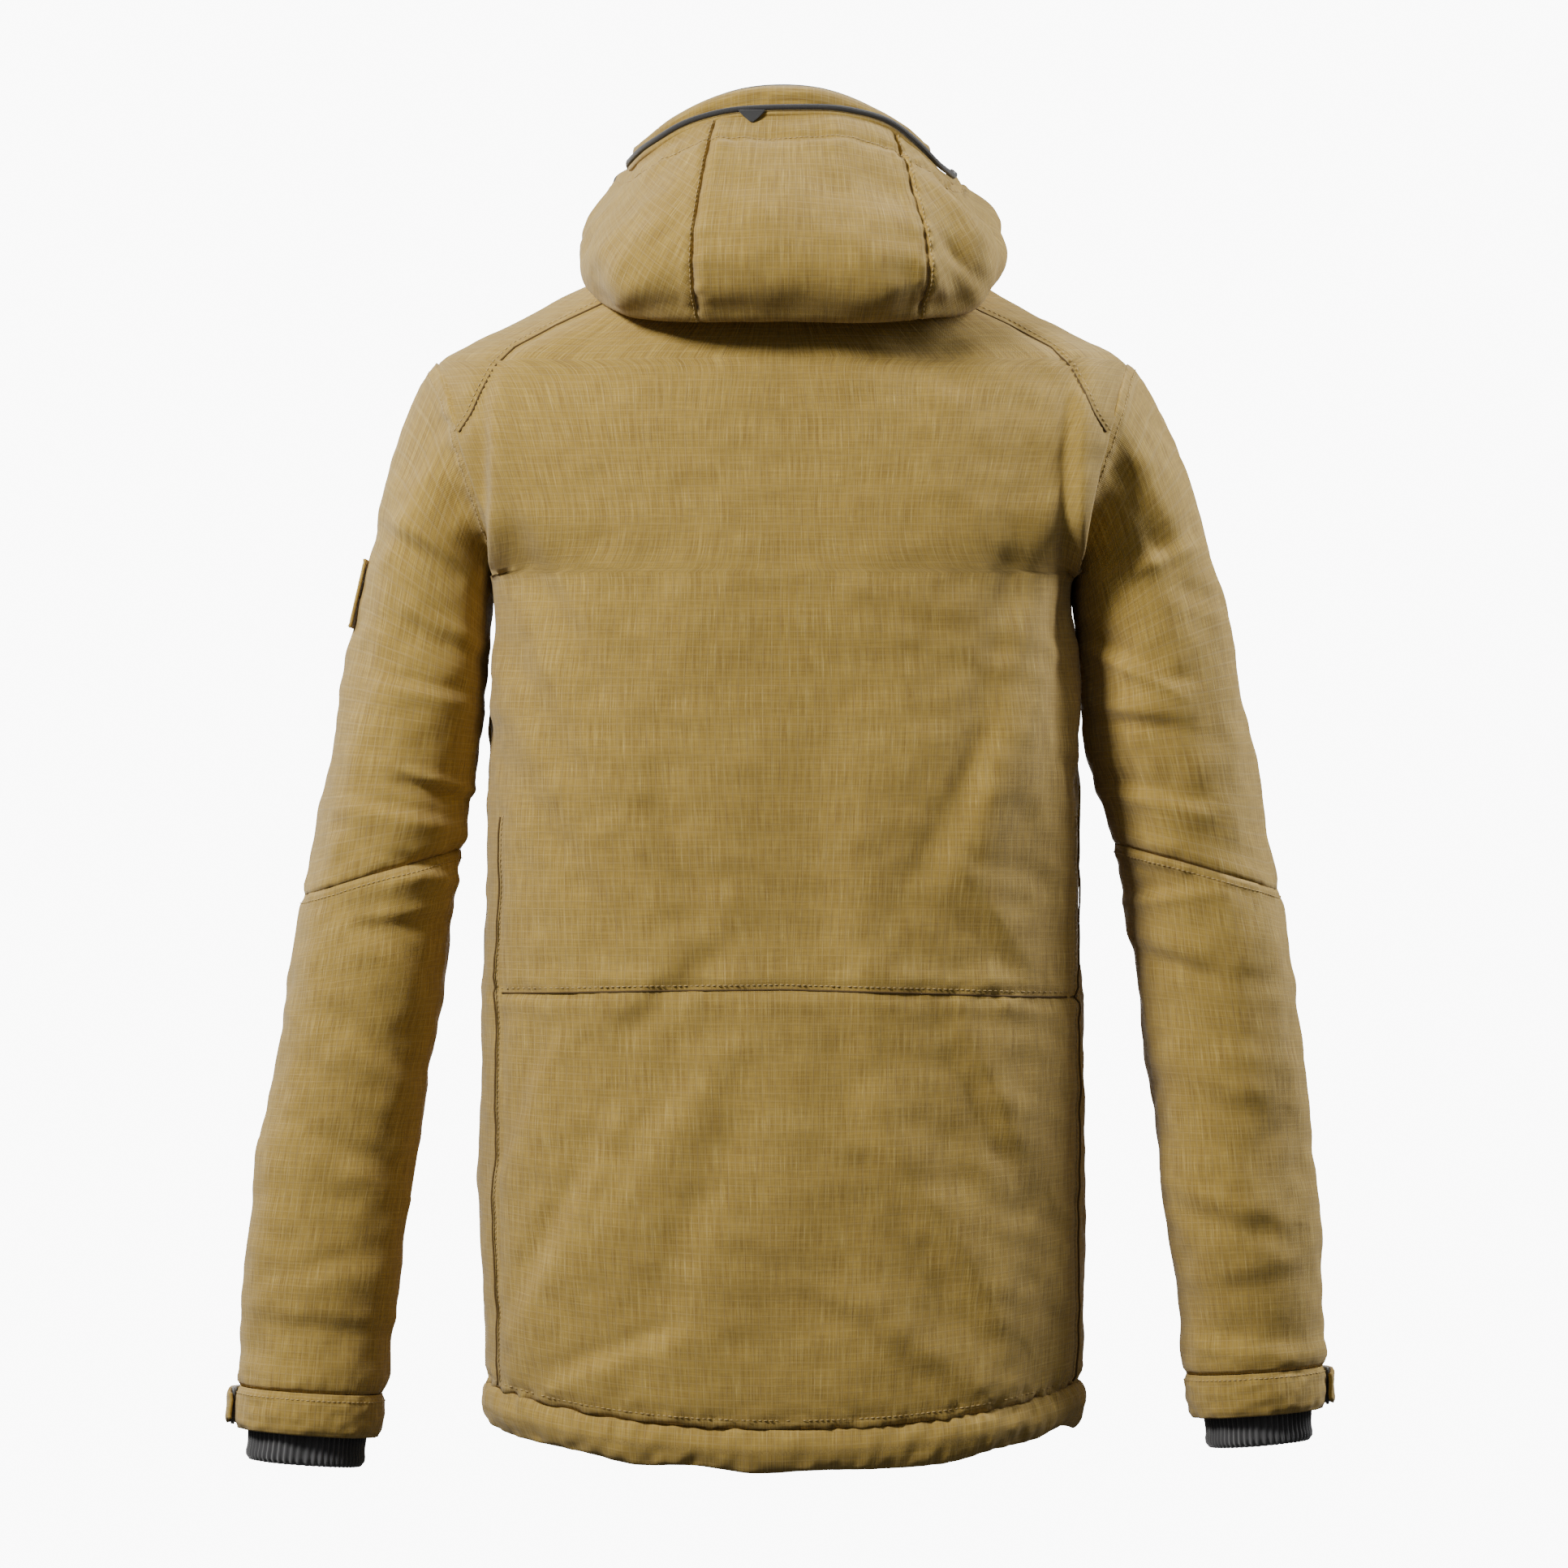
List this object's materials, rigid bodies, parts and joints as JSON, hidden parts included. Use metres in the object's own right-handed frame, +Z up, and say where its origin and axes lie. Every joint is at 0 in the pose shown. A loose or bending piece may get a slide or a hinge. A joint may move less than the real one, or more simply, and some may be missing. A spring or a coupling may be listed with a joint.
{
  "type": "hooded padded coat",
  "caption": "Hip-length padded coat with a lowered hood, stand collar, front zip, hand pockets, adjustable cuffs and knit wristlets.",
  "frame": {"origin": "where the hang loop at the inside back of the neck takes the load", "axes": "+Z up, +Y towards the back of the coat, +X towards the wearer's left"},
  "size_m": [0.7325, 0.2812, 0.9078],
  "materials": {
    "shell_fabric": "matt woven fabric with slubs",
    "shell_fabric_dark": "matt woven fabric with slubs",
    "lining": "smooth lining",
    "knit": "ribbed knit",
    "tape": "woven tape",
    "zip_teeth": "moulded teeth",
    "zip_metal": "dark coated metal",
    "pull": "soft moulded pull",
    "cord": "braided elastic",
    "stopper": "moulded",
    "hook_and_loop": "brushed loops"
  },
  "bodies": {
    "body": {"back_panel_lower": "shell_fabric", "back_panel_upper": "shell_fabric", "body_lining": "lining", "collar": "shell_fabric", "collar_lining": "lining", "front_panel_left": "shell_fabric", "front_panel_right": "shell_fabric", "hang_loop": "tape", "hem_band": "shell_fabric", "pocket_welt_left": "shell_fabric_dark", "pocket_welt_right": "shell_fabric_dark", "pocket_zip_left": "zip_teeth", "pocket_zip_right": "zip_teeth", "shoulder_yoke_left": "shell_fabric", "shoulder_yoke_right": "shell_fabric", "side_panel_left": "shell_fabric_dark", "side_panel_right": "shell_fabric_dark", "zip_box": "zip_teeth", "zip_inner_flap": "lining", "zip_tape_left": "tape", "zip_tape_right": "tape", "zip_teeth_left": "zip_teeth", "zip_teeth_right": "zip_teeth"},
    "upper_arm_left": {"upper_sleeve_left": "shell_fabric", "sleeve_patch": "shell_fabric_dark"},
    "forearm_left": {"lower_sleeve_left": "shell_fabric", "cuff_band_left": "shell_fabric", "wristlet_left": "knit", "cuff_loop_pad_left": "hook_and_loop"},
    "tab_left": {"cuff_tab_left": "shell_fabric_dark"},
    "pocket_slider_left": {"pocket_left_slider": "zip_metal"},
    "pocket_pull_left": {"pocket_left_pull": "pull"},
    "stopper_button_left": {"cord_stopper_button_left": "stopper"},
    "upper_arm_right": {"upper_sleeve_right": "shell_fabric"},
    "forearm_right": {"lower_sleeve_right": "shell_fabric", "cuff_band_right": "shell_fabric", "wristlet_right": "knit", "cuff_loop_pad_right": "hook_and_loop"},
    "tab_right": {"cuff_tab_right": "shell_fabric_dark"},
    "pocket_slider_right": {"pocket_right_slider": "zip_metal"},
    "pocket_pull_right": {"pocket_right_pull": "pull"},
    "stopper_button_right": {"cord_stopper_button_right": "stopper"},
    "hood": {"hood_centre_panel": "shell_fabric", "hood_cord": "cord", "hood_hem": "shell_fabric", "hood_rim_tab": "tape", "hood_side_left": "shell_fabric", "hood_side_right": "shell_fabric", "hood_underside": "lining", "cord_stopper_left": "stopper", "cord_stopper_right": "stopper"},
    "slider": {"front_zip_slider": "zip_metal"},
    "pull": {"front_zip_pull": "pull"}
  },
  "joints": [
    {"name": "hood_lift", "type": "hinge", "parent": "body", "child": "hood", "pos_m": [0, -0.0856, 0.051], "axis": [1, 0, 0], "range_deg": [0, 28]},
    {"name": "shoulder_raise_left", "type": "hinge", "parent": "body", "child": "upper_arm_left", "pos_m": [0.23, -0.0506, -0.091], "axis": [0, -1, 0], "range_deg": [0, 60]},
    {"name": "elbow_bend_left", "type": "hinge", "parent": "upper_arm_left", "child": "forearm_left", "pos_m": [0.2645, -0.113, -0.4275], "axis": [-0.9487, 0, 0.3162], "range_deg": [0, 45]},
    {"name": "cuff_tab_open_left", "type": "hinge", "parent": "forearm_left", "child": "tab_left", "pos_m": [0.3245, -0.10107, -0.78341], "axis": [0.0783, 0.0484, -0.9958], "range_deg": [0, 75]},
    {"name": "pocket_zip_travel_left", "type": "slide", "parent": "body", "child": "pocket_slider_left", "axis": [0.2274, 0.0825, -0.9703], "range_m": [0, 0.12]},
    {"name": "pocket_pull_swing_left", "type": "hinge", "parent": "pocket_slider_left", "child": "pocket_pull_left", "pos_m": [0.11045, -0.16423, -0.491], "axis": [-0.9121, -0.331, -0.2419], "range_deg": [0, 140]},
    {"name": "stopper_press_left", "type": "slide", "parent": "hood", "child": "stopper_button_left", "axis": [0, 0, 1], "range_m": [0, 0.0035], "stiffness_N_per_m": 300},
    {"name": "shoulder_raise_right", "type": "hinge", "parent": "body", "child": "upper_arm_right", "pos_m": [-0.23, -0.0506, -0.091], "axis": [0, 1, 0], "range_deg": [0, 60]},
    {"name": "elbow_bend_right", "type": "hinge", "parent": "upper_arm_right", "child": "forearm_right", "pos_m": [-0.2735, -0.113, -0.423], "axis": [-0.9496, 0, -0.3136], "range_deg": [0, 45]},
    {"name": "cuff_tab_open_right", "type": "hinge", "parent": "forearm_right", "child": "tab_right", "pos_m": [-0.32387, -0.10104, -0.77044], "axis": [0.0644, -0.0509, 0.9966], "range_deg": [0, 75]},
    {"name": "pocket_zip_travel_right", "type": "slide", "parent": "body", "child": "pocket_slider_right", "axis": [-0.2274, 0.0825, -0.9703], "range_m": [0, 0.12]},
    {"name": "pocket_pull_swing_right", "type": "hinge", "parent": "pocket_slider_right", "child": "pocket_pull_right", "pos_m": [-0.11045, -0.16423, -0.491], "axis": [-0.9121, 0.331, 0.2419], "range_deg": [0, 140]},
    {"name": "stopper_press_right", "type": "slide", "parent": "hood", "child": "stopper_button_right", "axis": [0, 0, 1], "range_m": [0, 0.0035], "stiffness_N_per_m": 300},
    {"name": "front_zip_travel", "type": "slide", "parent": "body", "child": "slider", "axis": [0, -0.0519, -0.9987], "range_m": [0, 0.79]},
    {"name": "front_pull_swing", "type": "hinge", "parent": "slider", "child": "pull", "pos_m": [0, -0.14687, 0.03491], "axis": [-1, 0, 0], "range_deg": [0, 150]}
  ]
}
